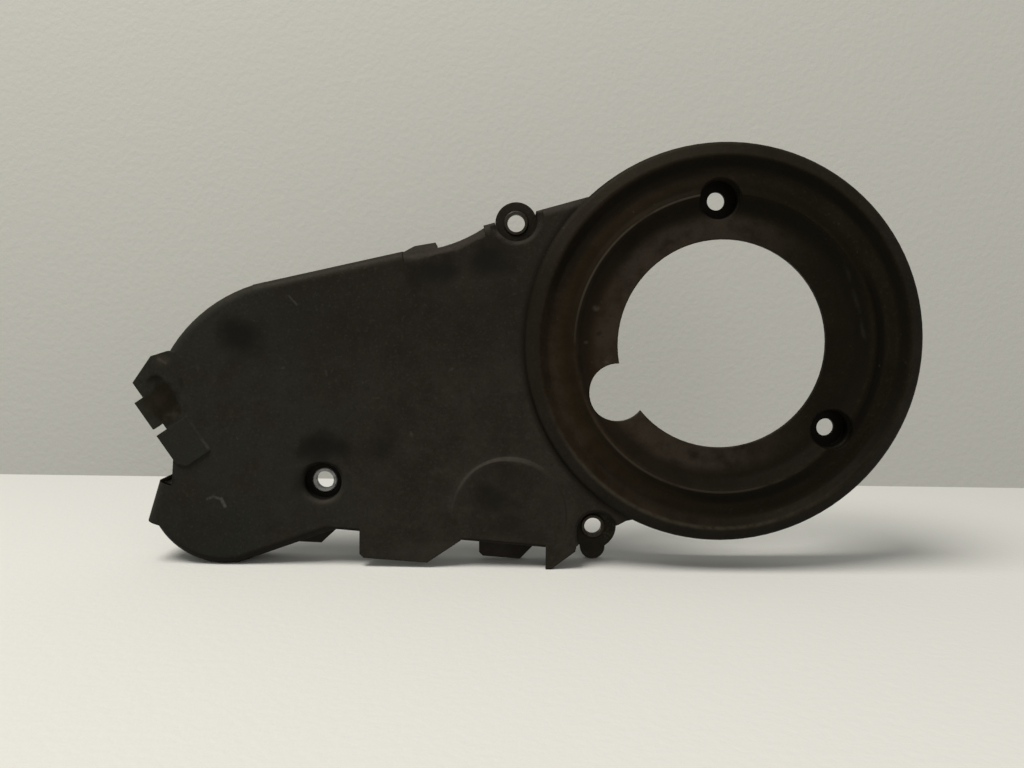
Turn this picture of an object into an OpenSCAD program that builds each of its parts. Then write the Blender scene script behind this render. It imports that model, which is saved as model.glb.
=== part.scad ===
// Timing belt cover: one moulded shell with a dished ring round the crank opening, an arm that
// closes over the belt, and pressed-in steel sleeves in its bolt places. Millimetres, +Z up.
// The cover stands on its edge as in the picture: front face to -Y, arm to -X.
// Origin: centre of the crank opening, in the middle of the dish floor's thickness.

/* [Body] */
// Thickness of the moulded wall
wall = 2; // [1.7:0.1:2.4]
// Depth from the front face of the arm back to the rear edge
body_depth = 18.5; // [17.5:0.5:22]
// Rounding of the front edge along the top and round the lobe
edge_r = 4; // [3:0.25:5]
// Rounding of the front edge along the bottom
low_edge_r = 1.6; // [1:0.1:2.4]
// Height of the crank axis over the floor that the cover stands on
floor_drop = 90; // [88:0.5:93]

/* [Ring] */
// Outer radius of the ring
ring_r = 77; // [76:0.2:78]
// Radius of the crank opening
opening_r = 40.6; // [38.5:0.1:42]
// How far the dish floor lies behind the face of the arm
dish_depth = 1.3; // [0.8:0.1:2]
// Radius of the rounded bead at the ring's rim
bead_r = 2.6; // [2:0.1:3]
// Height of the bead over the face of the arm
bead_h = 4.2; // [3.2:0.1:5]
// Radius of the ridge between dish floor and outer annulus
step_r = 57.8; // [57:0.1:59.5]
// Height of that ridge over the dish floor
step_h = 3.6; // [2.8:0.1:4.4]
// Radial run of the sloped step wall
step_run = 6; // [5:0.2:7]
// Radius of the round notch in the edge of the crank opening
notch_r = 11.4; // [9:0.2:12]
// Distance of the notch from the crank axis
notch_dist = 44.4; // [42:0.2:46]
// Direction of the notch
notch_angle = 205.8; // [200:0.2:212]

/* [Bolt places] */
// Radius of the bolt holes, for M6 bolts
bolt_r = 3.5; // [3.2:0.05:3.7]
// Outer radius of the steel sleeves
sleeve_r = 5; // [4.6:0.1:5.6]
// Thickness of the plastic that holds a sleeve
seat_t = 2.6; // [2:0.1:3.4]
// How far each sleeve stands out of its seat
sleeve_proud = 0.5; // [0.2:0.1:1]
// Chamfer at the sleeve ends
sleeve_chamfer = 0.4; // [0.2:0.1:0.6]
// Radius of the two pockets in the ring
ring_pocket_r = 7.3; // [6.6:0.1:8]
// Depth of those pockets behind the dish floor
ring_pocket_depth = 4.6; // [3:0.2:7]
// Thickness of their floors
ring_seat_t = 1.6; // [1.2:0.1:2]
// Upper ring hole: distance from the crank axis
upper_hole_dist = 55.6; // [54.5:0.1:56.5]
// Upper ring hole: direction
upper_hole_angle = 93.2; // [88:0.2:98]
// Right ring hole: distance from the crank axis
right_hole_dist = 54.1; // [53:0.1:55.5]
// Right ring hole: direction
right_hole_angle = -36.8; // [-42:0.2:-32]
// Arm hole: position
arm_hole_x = -155.6; // [-158:0.2:-152]
arm_hole_y = -56.2; // [-58:0.2:-52]
// Radius of the pocket round the arm hole
arm_pocket_r = 7.3; // [6.6:0.1:8]
// Depth of that pocket
arm_pocket_depth = 5.5; // [4:0.25:7]
// Upper lug: position
upper_lug_x = -80.7; // [-82:0.1:-79.5]
upper_lug_y = 47.1; // [46:0.1:48.5]
// Lower lug: position
lower_lug_x = -47.3; // [-48.6:0.1:-46.6]
lower_lug_y = -76.2; // [-77:0.1:-75]
// Radius of the upper lug and of the pocket in front of it
lug_r = 8.4; // [7.8:0.1:8.8]
// Radius of the lower lug
low_lug_r = 9.6; // [9:0.1:10]
// Radius of the pocket in front of it
low_pocket_r = 7.8; // [7:0.1:8.2]
// Rounded lip of the pockets in the arm
lip_r = 2.2; // [1.6:0.1:2.6]
// Width of the foot under the lower lug
foot_w = 10.2; // [8.5:0.1:11]

/* [Arm] */
// Slope of the straight top edge
top_slope = 13.1; // [12:0.1:14]
// Length of the straight top edge
top_len = 54.6; // [52:0.2:57]
// Radius of the round upper left shoulder
shoulder_r = 60; // [58:0.5:62]
// Centre of the shoulder
shoulder_x = -164.4; // [-166:0.2:-163]
shoulder_y = -36.4; // [-38:0.2:-35]
// Angle at which the shoulder ends
shoulder_end = 150; // [147:0.5:152]
// Radius of the hollow stretch before the upper lug
hollow_r = 57; // [52:0.5:62]
// Angle that the hollow stretch turns through
hollow_turn = 31; // [29:0.5:33]
// Slope of the top edge between upper lug and ring
neck_slope = 15.9; // [14.5:0.1:17]
// Height of the small corner at the start of the neck edge
neck_rise = 2.2; // [1.6:0.1:3]
// Radius of the lower left lobe
lobe_r = 30; // [28:0.5:31.5]
// Centre of the lobe
lobe_x = -195.6; // [-197:0.2:-194]
// Slope of the lobe's right flank
flank_slope = 20; // [18:0.2:22]
// Slope of the bottom edge
bottom_slope = -4.25; // [-5:0.05:-3.5]
// Height of the bottom edge under the arm hole
bottom_y = -74.8; // [-76:0.2:-73.5]
// Angle at which the lobe gives way to the straight end wall
lobe_end = 207; // [202:0.5:210]
// Length of the straight end wall above the lobe
end_wall_len = 16.8; // [15.4:0.2:18]
// Lean of that wall from upright
end_wall_lean = 17; // [14:0.5:20]

/* [Open end] */
// Outer corner of the end tab
end_x = -228.7; // [-230:0.2:-227.5]
end_y = -25.9; // [-27:0.2:-25]
// Direction of the open end
end_angle = -55.8; // [-58:0.2:-54]
// Length of the end tab
tab_len = 12.5; // [10:0.1:14]
// Width and depth of the slot beside it
slot_w = 2.8; // [2:0.1:3.6]
slot_d = 4.6; // [3:0.1:6]
// Length of the edge of the raised pad
pad_len = 13.4; // [12:0.1:15]
// Reach of the raised pad over the face
pad_reach = 14.4; // [12:0.2:16]
// Height of the raised pad
pad_h = 0.8; // [0.5:0.1:1.4]
// Depth of the sunk band behind the end tabs
sunk_d = 1.3; // [0.8:0.1:1.4]

/* [Lower tabs and face] */
// Reach of the wide front tab below the bottom edge
front_tab_h = 10.4; // [8:0.2:11.5]
// Reach of the rear tabs beyond the edges
rear_tab_h = 9.5; // [7:0.1:9.6]
// How far the rear tabs lie behind the face
rear_tab_back = 14; // [11:0.5:15]
// Radius of the raised arch on the face
arch_r = 22.4; // [21:0.2:24]
// Height of the raised arch
arch_h = 1.3; // [0.9:0.1:1.4]
// Depth of the soft hollows in the face
hollow_d = 0.9; // [0.5:0.1:1.1]

/* [Hidden] */
fine = 96;
arc_step = 10;
far = 400;

// Levels along the cover's depth, front positive, before the cover is stood up
floor_z = wall / 2;
face_z = floor_z + dish_depth;
back_z = face_z - wall;
rear_z = face_z - body_depth;
ridge_z = floor_z + step_h;
crest_z = face_z + bead_h;
lug_z = rear_z + seat_t;
tab_z = face_z - rear_tab_back;
ring_seat_z = floor_z - ring_pocket_depth;
arm_seat_z = face_z - arm_pocket_depth;

// Places
function polar(r, a) = [r * cos(a), r * sin(a)];
upper_hole = polar(upper_hole_dist, upper_hole_angle);
right_hole = polar(right_hole_dist, right_hole_angle);
notch = polar(notch_dist, notch_angle);
arm_hole = [arm_hole_x, arm_hole_y];
upper_lug = [upper_lug_x, upper_lug_y];
lower_lug = [lower_lug_x, lower_lug_y];
shoulder = [shoulder_x, shoulder_y];
ground = -floor_drop;
lobe = [lobe_x, ground + lobe_r];

// Top edge, from the shoulder to the ring
top_start = shoulder + polar(shoulder_r, 90 + top_slope);
top_end = top_start + polar(top_len, top_slope);
hollow_c = top_end + [0, hollow_r];
hollow_end = hollow_c + polar(hollow_r, hollow_turn - 90);
neck_run = 2;
neck_start = hollow_end + [neck_run, neck_rise];
neck_len = 42;
neck_end = neck_start + polar(neck_len, neck_slope);

lip_low = 1.6;
low_pocket_up = 1.4;

// Bottom edge: the lobe's flank runs up to it, and it falls away to the right
flank_start = lobe + polar(lobe_r, flank_slope - 90);
bottom_mid = [arm_hole_x, bottom_y];
flank_k = tan(flank_slope);
bottom_k = tan(bottom_slope);
join_x = (bottom_mid.y - flank_start.y + flank_k * flank_start.x - bottom_k * bottom_mid.x)
    / (flank_k - bottom_k);
function bottom_at(x) = bottom_mid.y + bottom_k * (x - bottom_mid.x);
bottom_start = [join_x, bottom_at(join_x)];
bottom_right = lower_lug.x - low_pocket_r - lip_low / 8;
bottom_end = [bottom_right, bottom_at(bottom_right)];

// Lower edge between the lower lug and the ring
web_x = -32.6;
web_y = -69.3;
web_k = 0.226;
function web_at(x) = web_y + web_k * (x - web_x);

// Straight end wall above the lobe
end_wall_out = 2.6;
wall_foot = lobe + polar(lobe_r + end_wall_out, lobe_end - 4);
wall_top = wall_foot + polar(end_wall_len, 90 - end_wall_lean);

// Section of shell along an edge: x runs inward from the outer surface, y is measured from the
// face. Its back lies a hair in front of the plate's back, and it runs past the rear edge.
leg_short = 11;
inner_min = 0.4;
hair = 0.05;
spare = 0.5;
function round_corner(c, r, sign) = [
    for (a = [0:arc_step:90]) c + [-r * cos(sign > 0 ? a : 90 - a), r * sin(sign > 0 ? a : 90 - a)]
];
function section(r, leg) = let (inner = max(r - wall, inner_min))
    concat(
        [[0, -body_depth - spare]],
        round_corner([r, -r], r, 1),
        [[leg - wall, 0], [leg, -wall / 2], [leg - wall, hair - wall]],
        round_corner([wall + inner, hair - wall - inner], inner, -1),
        [[wall, -body_depth - spare]]
    );

// Straight stretch of edge from p to q, body on the right hand. It runs on into the round
// stretches at its ends, a hair inside their surface.
module edge_line(p, q, r, leg, before = 0, after = 0, sink = 0) {
    d = q - p;
    translate([q.x, q.y, face_z])
        rotate([0, 0, atan2(-d.x, d.y)])
            rotate([90, 0, 0])
                translate([sink, 0, -after])
                    linear_extrude(height = norm(d) + before + after)
                        polygon(section(r, leg));
}

// Round stretch of edge about c, body towards the centre
module edge_arc(c, rad, a0, a1, r, leg) {
    translate([c.x, c.y, face_z])
        rotate([0, 0, a0])
            rotate_extrude(angle = a1 - a0, $fn = fine)
                polygon([for (p = section(r, leg)) [rad - p.x, p.y]]);
}

// Hollow round stretch of edge about c, body away from the centre
module edge_hollow(c, rad, a0, a1, r, leg) {
    translate([c.x, c.y, face_z])
        rotate([0, 0, a0])
            rotate_extrude(angle = a1 - a0, $fn = fine)
                polygon([for (p = section(r, leg)) [rad + p.x, p.y]]);
}

// Slab of the moulding between two levels
module slab(z0, z1) {
    translate([0, 0, z0])
        linear_extrude(height = z1 - z0)
            children();
}

module rod(c, r, z0, z1) {
    translate([c.x, c.y, z0])
        cylinder(r = r, h = z1 - z0, $fn = fine);
}

// Pocket with a rounded lip, as the space that it takes out
module funnel(c, r, lip, z0, z_lip) {
    translate([c.x, c.y, 0])
        rotate_extrude($fn = fine)
            polygon(concat(
                [[0, z0], [r, z0]],
                [for (a = [0:arc_step:90]) [r + lip - lip * cos(a), z_lip - lip + lip * sin(a)]],
                [[r + lip, crest_z + wall], [0, crest_z + wall]]
            ));
}

// Line through the given points with its inner corners rounded; a fillet takes at most the given
// share of the shorter edge beside it
corner_share = 0.45;
function unit(v) = v / norm(v);
function wrap(a) = a > 180 ? a - 360 : a < -180 ? a + 360 : a;
function corner(p, c, q, r) = let (
        u = unit(p - c),
        v = unit(q - c),
        half = acos(u * v) / 2,
        room = corner_share * min(norm(p - c), norm(q - c)),
        fit = min(r, room * tan(half)),
        m = c + unit(u + v) * fit / sin(half),
        s = c + u * fit / tan(half) - m,
        e = c + v * fit / tan(half) - m,
        a0 = atan2(s.y, s.x),
        turn = wrap(atan2(e.y, e.x) - a0),
        n = max(1, ceil(abs(turn) / arc_step))
    ) [for (i = [0:n]) m + polar(fit, a0 + turn * i / n)];
function rounded(pts, radii) = concat(
    [pts[0]],
    [for (i = [1:len(pts) - 2]) each corner(pts[i - 1], pts[i], pts[i + 1], radii[i])],
    [pts[len(pts) - 1]]
);

// Section of the ring from the opening out to the rim: dish floor, step with its fine crest,
// slack trough, and the bead that falls away towards the rim
foot_r = step_r - step_run;
bead_in = 5.4;
bead_fall = 2.4;
bead_top_r = ring_r - bead_in;
rim_z = crest_z - bead_fall;
trough_share = 49 / 69;
trough_r = step_r + (bead_top_r - step_r) * trough_share;
trough_z = ridge_z - 1.5;
fall = 0.9;
ring_front = rounded(
    [
        [opening_r, floor_z],
        [foot_r, floor_z],
        [step_r - fall / 2, ridge_z],
        [step_r + fall / 2, ridge_z],
        [step_r + fall * 2.4, ridge_z - fall * 0.7],
        [trough_r, trough_z],
        [bead_top_r, crest_z],
        [ring_r, rim_z],
        [ring_r, back_z]
    ],
    [0, 7, 0.5, 0.5, 1.2, 3, 1.4, bead_r, 0]
);
ring_back = rounded(
    [
        [ring_r - wall, back_z],
        [ring_r - wall, rim_z - wall * 0.6],
        [bead_top_r, crest_z - wall * 1.1],
        [trough_r + wall * 0.4, trough_z - wall],
        [step_r + fall * 2.4, ridge_z - fall * 0.7 - wall],
        [step_r + fall, ridge_z - wall - fall / 3],
        [foot_r + wall / 2, -floor_z],
        [opening_r, -floor_z]
    ],
    [0, 0.8, 0.8, 3, 3, 1, 8, 0]
);

module ring_shell() {
    rotate_extrude($fn = fine)
        polygon(concat(ring_front, ring_back));
}

// Everything of the ring's outline that lies behind its front line
module ring_under() {
    rotate_extrude($fn = fine)
        polygon(concat(ring_front, [[ring_r, rear_z], [opening_r, rear_z]]));
}

// Outer wall of the ring, left open towards the arm
wall_from = atan2(lower_lug.y, lower_lug.x) - 1;
wall_to = 133.5;
wall_extra = 0.5;
module ring_wall() {
    difference() {
        rotate_extrude($fn = fine)
            polygon([
                [ring_r, rear_z - spare],
                [ring_r, rim_z - bead_r * 0.8],
                [ring_r - wall / 2, rim_z - bead_r * 0.8],
                [ring_r - wall - wall_extra, back_z],
                [ring_r - wall - wall_extra, rear_z - spare]
            ]);
        slab(rear_z - wall, crest_z)
            polygon([[0, 0], polar(far, wall_to), polar(far, 180), polar(far, wall_from)]);
    }
}

// Open end of the arm with its tabs and slot, drawn along the end line
tab_in = 4;
tab_up = 6.9;
tab_tip = [-11.5, 15.9];
tab_root = [-9.6, 22.5];
slot_x = tab_len + slot_w;
pad_end = slot_x + pad_len;
end_low = [32.6, -5.4];
end_deep = 34;
module end_frame() {
    translate([end_x, end_y])
        rotate(end_angle)
            children();
}
module end_outline() {
    end_frame()
        polygon([
            [0, 0],
            [tab_len, 0],
            [tab_len, slot_d],
            [slot_x, slot_d],
            [slot_x, 0],
            [pad_end, 0],
            [pad_end + wall / 2, -wall / 2],
            end_low,
            [end_deep, end_deep],
            [0, end_deep],
            tab_root,
            tab_tip,
            [-tab_up, tab_in],
            [0, tab_in]
        ]);
}

// Raised pad beside the slot, with a sloping far edge
pad_cut = 3;
pad_edge = 1.4;
module end_pad() {
    slope = pad_edge / pad_h;
    intersection() {
        translate([end_x, end_y, face_z])
            rotate([0, 0, end_angle])
                translate([slot_x + hair, 0, 0])
                    rotate([90, 0, 90])
                        linear_extrude(height = pad_len + pad_cut)
                            polygon([
                                [hair, -wall / 2],
                                [hair, pad_h],
                                [pad_reach - pad_edge, pad_h],
                                [pad_reach + slope * wall / 2, -wall / 2]
                            ]);
        slab(back_z, crest_z)
            end_frame()
                polygon([
                    [0, 0],
                    [pad_end - hair, 0],
                    [pad_end + pad_cut, pad_cut],
                    [pad_end + pad_cut - hair, pad_reach * 2],
                    [0, pad_reach * 2]
                ]);
    }
}

// Soft sunk band behind the end tabs, the space of a round bar with ball ends
sunk_from = [-1.2, 10.9];
sunk_to = [9, 10.9];
sunk_w = 8.6;
module end_sunk() {
    ball = (sunk_w * sunk_w / 4 + sunk_d * sunk_d) / (2 * sunk_d);
    translate([end_x, end_y, face_z + ball - sunk_d])
        rotate([0, 0, end_angle])
            translate([sunk_from.x, sunk_from.y, 0]) {
                sphere(r = ball, $fn = fine);
                translate([sunk_to.x - sunk_from.x, 0, 0])
                    sphere(r = ball, $fn = fine);
                rotate([0, 90, 0])
                    cylinder(r = ball, h = sunk_to.x - sunk_from.x, $fn = fine);
            }
}

// Flat middle of the arm's face, inside the rounded edges
inset = edge_r + 2;
hollow_in = 10;
module arm_flat() {
    polygon([
        neck_end + [0, -inset - wall],
        neck_start + [0, -inset - neck_rise],
        hollow_end + [0, -hollow_in],
        top_end + [0, -hollow_in],
        top_end + [-hair, -inset],
        top_start + [0, -inset],
        shoulder + polar(shoulder_r - inset, shoulder_end),
        wall_top + [inset, 0],
        wall_foot + [inset, 0],
        lobe + polar(lobe_r - inset, lobe_end),
        lobe + polar(lobe_r - inset, 240),
        lobe + polar(lobe_r - inset, 270),
        flank_start + [-inset / 3, inset],
        bottom_start + [-inset / 4, inset],
        bottom_start + [inset, inset / 2],
        bottom_end + [0, inset / 2],
        lower_lug,
        [web_x, web_at(web_x) + wall / 2],
        [0, 0]
    ]);
}

// Edges of the arm with the walls behind them
shoulder_leg = 23;
lobe_leg = 23;
run_on = 5;
hollow_on = 4;
hollow_edge_r = 5.2;
hollow_leg = 13;
module arm_edges() {
    edge_arc(shoulder, shoulder_r, 90 + top_slope, shoulder_end, edge_r, shoulder_leg);
    edge_line(top_start, top_end, edge_r, leg_short, run_on, 0, hair);
    edge_hollow(hollow_c, hollow_r, -90, hollow_turn + hollow_on - 90, hollow_edge_r, hollow_leg);
    edge_line(neck_start, neck_end, edge_r, leg_short);
    edge_line(wall_foot, wall_top, edge_r, leg_short);
    edge_arc(lobe, lobe_r, lobe_end, 270 + flank_slope, edge_r, lobe_leg);
    edge_line(bottom_start, flank_start, edge_r, leg_short, run_on / 2, run_on, hair);
    edge_line(bottom_end, bottom_start, low_edge_r, leg_short, 0, run_on, 0);
}

// Tabs in the plane of the face under the bottom edge
front_tab_x = -141;
front_tab_w = 40;
front_tab_low = 1.6;
front_tab_corner = 1.6;
front_tab_slant = 13.2;
tip_x = -67.2;
tip_flat = 2;
tip_w = 11.7;
tip_rise = 7.4;
module front_tabs() {
    slab(back_z, face_z) {
        polygon([
            [front_tab_x, bottom_at(front_tab_x) + inset],
            [front_tab_x, bottom_at(front_tab_x) - front_tab_h + front_tab_corner],
            [front_tab_x + front_tab_corner, bottom_at(front_tab_x) - front_tab_h],
            [
                front_tab_x + front_tab_w - front_tab_slant,
                bottom_at(front_tab_x) - front_tab_h - front_tab_low
            ],
            [front_tab_x + front_tab_w, bottom_at(front_tab_x + front_tab_w)],
            [front_tab_x + front_tab_w, bottom_at(front_tab_x + front_tab_w) + inset]
        ]);
        polygon([
            [tip_x, bottom_at(tip_x) + inset],
            [tip_x, ground],
            [tip_x + tip_flat, ground],
            [tip_x + tip_w, ground + tip_rise],
            [tip_x + tip_w, bottom_at(tip_x) + inset]
        ]);
    }
}

// Tabs on the walls behind, under the bottom edge
rear_low = -94.2;
rear_low_w = 25.1;
rear_low_slant = 8.1;
rear_low_fall = 1;
rear_flank = -170.2;
rear_flank_w = 18.6;
rear_flank_flat = 11;
module rear_tabs() {
    slab(tab_z - wall, tab_z) {
        polygon([
            [rear_low, bottom_at(rear_low) + wall / 2],
            [rear_low, bottom_at(rear_low) - rear_tab_h + front_tab_corner],
            [rear_low + front_tab_corner, bottom_at(rear_low) - rear_tab_h],
            [rear_low + rear_low_w - rear_low_slant, bottom_at(rear_low) - rear_tab_h - rear_low_fall],
            [rear_low + rear_low_w + wall / 2, bottom_at(rear_low + rear_low_w) + wall / 2]
        ]);
        polygon([
            [rear_flank, bottom_at(rear_flank) - rear_tab_h + wall],
            [rear_flank, bottom_at(rear_flank) - rear_tab_h - wall / 3],
            [rear_flank + rear_flank_flat, bottom_at(rear_flank) - rear_tab_h - wall / 2],
            [rear_flank + rear_flank_w, bottom_at(rear_flank + rear_flank_w) - wall],
            [rear_flank + rear_flank_w, bottom_at(rear_flank + rear_flank_w) + wall / 2]
        ]);
    }
}

// Tab on the top edge, leaning back from the rounded edge
top_tab_w = 13.6;
top_tab_h = 2.2;
top_tab_lean = 40;
top_tab_z = -1;
module top_tab() {
    up = top_tab_h / cos(top_tab_lean);
    translate([top_end.x, top_end.y, top_tab_z])
        rotate([-top_tab_lean, 0, 0])
            translate([0, 0, -wall])
                linear_extrude(height = wall)
                    polygon([
                        [0, -wall],
                        [wall / 2, 0],
                        [top_tab_w / 3, up],
                        [top_tab_w - wall / 2, up * 1.75],
                        [top_tab_w, up],
                        [top_tab_w, -wall]
                    ]);
}

// Arch on the face: a flat cone tipped so that its lower side sinks into the face
arch_c = [-82, -69];
arch_edge = 1.5;
arch_low = 7.5;
arch_clip = 9;
module arch() {
    tip = atan2(arch_h, arch_r + arch_low);
    mid = arch_low * tan(tip);
    deep = wall * 0.6;
    intersection() {
        translate([arch_c.x, arch_c.y, face_z])
            rotate([tip, 0, 0])
                translate([0, 0, -deep])
                    cylinder(
                        r1 = arch_r + arch_edge * (deep + mid) / arch_h,
                        r2 = arch_r,
                        h = deep + mid,
                        $fn = fine
                    );
        slab(back_z, crest_z)
            polygon([
                arch_c + [-arch_r * 2, -arch_clip],
                arch_c + [arch_r * 2, -arch_clip],
                arch_c + [arch_r * 2, arch_r * 2],
                arch_c + [-arch_r * 2, arch_r * 2]
            ]);
    }
}

// Soft hollow in the face, a shallow cap of a large ball
module soft_hollow(c, rad, z) {
    ball = (rad * rad + hollow_d * hollow_d) / (2 * hollow_d);
    translate([c.x, c.y, z + ball - hollow_d])
        sphere(r = ball, $fn = fine);
}
arm_hollow_up = 14;
arm_hollow_r = 8.5;
arch_hollow = [-88, -60.5];
arch_hollow_r = 11;
arch_rise = 0.6;
neck_hollow = [-93.6, 30.4];
neck_hollow_r = 10.5;
top_hollow = [-109, 27.4];
top_hollow_r = 9;

// Tubes that close the arm round the two lug pockets
tube_t = wall;
module lug_tubes() {
    intersection() {
        rod(upper_lug, lug_r + tube_t, rear_z - spare, face_z);
        slab(rear_z - spare, face_z)
            polygon([
                neck_start + [wall / 2, -wall / 2],
                neck_end + [0, -wall / 2],
                [neck_end.x, 0],
                [neck_start.x + wall / 2, 0]
            ]);
    }
    intersection() {
        union() {
            rod(lower_lug, low_pocket_r + tube_t, rear_z - spare, face_z);
            rod(lower_lug + [0, low_pocket_up], low_pocket_r + tube_t, rear_z - spare, face_z);
        }
        slab(rear_z - spare, face_z)
            polygon([
                [bottom_end.x - low_lug_r, -floor_drop / 2],
                [bottom_end.x - low_lug_r, bottom_at(bottom_end.x - low_lug_r) + wall / 2],
                [bottom_end.x - wall / 2, bottom_at(bottom_end.x) + wall / 2],
                lower_lug,
                [web_x, web_at(web_x) + wall / 2],
                [web_x, -floor_drop / 2]
            ]);
    }
}

// Wall from the lower lug to the ring
module lug_web() {
    slab(rear_z - spare, face_z)
        polygon([
            [lower_lug.x, web_at(lower_lug.x)],
            [web_x, web_at(web_x)],
            [web_x, web_at(web_x) + wall],
            [lower_lug.x, web_at(lower_lug.x) + wall]
        ]);
}

// Lugs, and the foot under the lower one
module lugs() {
    rod(upper_lug, lug_r, rear_z - spare, lug_z);
    rod(lower_lug, low_lug_r, rear_z - spare, lug_z);
    rod(lower_lug + [0, low_pocket_up], low_pocket_r + tube_t / 2, rear_z - spare, lug_z);
    rod([lower_lug.x, ground + foot_w / 2], foot_w / 2, rear_z - spare, lug_z);
    slab(rear_z - spare, lug_z)
        translate([lower_lug.x - foot_w / 2, ground + foot_w / 2])
            square([foot_w, lower_lug.y - ground - foot_w / 2]);
}

ring_lip = 0.7;

// Cups behind the ring's two pockets, kept behind the ring's front
module ring_cups() {
    intersection() {
        union() {
            rod(upper_hole, ring_pocket_r + wall, ring_seat_z - ring_seat_t, crest_z);
            rod(right_hole, ring_pocket_r + wall, ring_seat_z - ring_seat_t, crest_z);
        }
        ring_under();
    }
}

// Arm without the ring's place
module arm() {
    difference() {
        union() {
            slab(back_z, face_z)
                arm_flat();
            slab(back_z, face_z)
                end_outline();
            end_pad();
            arm_edges();
            front_tabs();
            rear_tabs();
            top_tab();
            arch();
            lug_tubes();
            rod(arm_hole, arm_pocket_r + wall, arm_seat_z - seat_t, face_z - wall / 2);
        }
        end_sunk();
        soft_hollow(arm_hole + [0, arm_hollow_up], arm_hollow_r, face_z);
        soft_hollow(arch_hollow, arch_hollow_r, face_z + arch_rise);
        soft_hollow(neck_hollow, neck_hollow_r, face_z);
        soft_hollow(top_hollow, top_hollow_r, face_z);
        rod([0, 0], ring_r - wall / 2, rear_z - far, far);
    }
}

module cover() {
    color([0.17, 0.16, 0.15])
        rotate([90, 0, 0])
            difference() {
                union() {
                    arm();
                    ring_shell();
                    ring_wall();
                    ring_cups();
                    lug_web();
                    lugs();
                }
                slab(rear_z - wall, rear_z)
                    square(2 * far, center = true);
                rod(notch, notch_r, rear_z, crest_z);
                funnel(upper_hole, ring_pocket_r, ring_lip, ring_seat_z, floor_z);
                funnel(right_hole, ring_pocket_r, ring_lip, ring_seat_z, floor_z);
                rod(upper_hole, bolt_r, rear_z, crest_z);
                rod(right_hole, bolt_r, rear_z, crest_z);
                funnel(arm_hole, arm_pocket_r, lip_r, arm_seat_z, face_z);
                funnel(upper_lug, lug_r, lip_r, lug_z, face_z);
                funnel(lower_lug, low_pocket_r, lip_low, lug_z, face_z);
                funnel(lower_lug + [0, low_pocket_up], low_pocket_r, lip_low, lug_z, face_z);
                rod(arm_hole, sleeve_r, rear_z - wall, crest_z);
                rod(upper_lug, sleeve_r, rear_z - wall, crest_z);
                rod(lower_lug, sleeve_r, rear_z - wall, crest_z);
            }
}

// Steel sleeve from the back of its seat to just in front of it
module sleeve(c, seat) {
    low = seat - seat_t;
    top = seat + sleeve_proud;
    color([0.62, 0.61, 0.58])
        rotate([90, 0, 0])
            translate([c.x, c.y, 0])
                rotate_extrude($fn = fine)
                    polygon([
                        [bolt_r, low],
                        [sleeve_r - sleeve_chamfer, low],
                        [sleeve_r, low + sleeve_chamfer],
                        [sleeve_r, top - sleeve_chamfer],
                        [sleeve_r - sleeve_chamfer, top],
                        [bolt_r, top]
                    ]);
}

module sleeve_arm() {
    sleeve(arm_hole, arm_seat_z);
}

module sleeve_upper() {
    sleeve(upper_lug, lug_z);
}

module sleeve_lower() {
    sleeve(lower_lug, lug_z);
}

cover();
sleeve_arm();
sleeve_upper();
sleeve_lower();
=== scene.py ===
import math
from types import SimpleNamespace

import bpy
from mathutils import Matrix, Vector

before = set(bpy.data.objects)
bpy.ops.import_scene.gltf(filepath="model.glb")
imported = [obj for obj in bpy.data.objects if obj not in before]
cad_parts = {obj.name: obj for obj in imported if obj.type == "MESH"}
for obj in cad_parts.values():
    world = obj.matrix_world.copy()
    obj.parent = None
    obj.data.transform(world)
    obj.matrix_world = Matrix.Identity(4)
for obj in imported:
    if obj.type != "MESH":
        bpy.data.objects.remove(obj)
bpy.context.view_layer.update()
scene = bpy.context.scene

# Stage and camera, in metres of the row frame
FLOOR = -0.090
BACK = 0.173
STAGE_HALF = 3
STAGE_ROUGH = 0.9
STAGE_SPECULAR = 0.1
PHOTO_WIDTH_PX = 1024.0
FOCAL_PX = 828.0
SENSOR_MM = 36.0
CLIP_START = 0.01
CAMERA_PLACE = (-0.0815, -0.3234, 0.0100)
CAMERA_DOWN_DEG = 4.7
CAMERA_ROLL_DEG = 0.78

# Smooth shading and shader helpers
WELD = 0.000004
SMOOTH_BELOW_DEG = 32
NORMAL_WEIGHT = 60
MM_PER_M = 1000
BEVEL_SAMPLES = 6
SPOT_CORE = 0.15
RAGGED_REACH = 1.8
LINE_CORE = 0.25
LINE_FULL = 0.3
LINE_END = 0.5

# Places in the picture plane, x and z in millimetres
ARCH = (-82.0, -69.0)
ARM_POCKET = (-155.6, -56.2)
LOWER_LUG = (-47.3, -76.2)
END_WALL_TOP = (-216.0, -56.5)
END_WALL_GAP = (-216.0, -54.0)

# Bolt pockets: centre, radius, depth of the mouth and of the rear end
POCKETS = (
    (-3.1, 55.5, 7.6, -4.4, 90),
    (43.3, -32.4, 7.6, -4.4, 90),
    (*ARM_POCKET, 7.9, -0.6, 90),
    (-47.3, -75.6, 8.6, -1.0, 13.0),
)
POCKET_EASE = 0.6

# Dark smudges and painted shade: centre, half axes, tilt, core, strength. The first, second and fourth
# are smudges;
# the third is painted shade in the soft hollow above the arm's pocket, the fifth and sixth painted shade
# inside the arch, and the last two painted shade below the rolled edge of the hollow beside the upper
# lug.
SMUDGE_AND_SHADE_SPOTS = (
    (-186.0, 1.5, 15, 12, 25, 0.1, 1.0),
    (-130.5, -43.5, 10, 12, 30, 0.1, 0.6),
    (-155.0, -42.0, 14, 10, 20, 0.1, 1.0),
    (-164.5, -56.0, 6, 9, 10, 0.1, 0.6),
    (-88.9, -61.8, 14, 8, -25, 0.0, 0.7),
    (-80.0, -71.0, 11, 7, -10, 0.0, 0.55),
    (-108.0, 27.0, 18, 8, 8, 0.2, 0.85),
    (-93.3, 29.5, 15, 9, 22, 0.2, 0.95),
)
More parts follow.
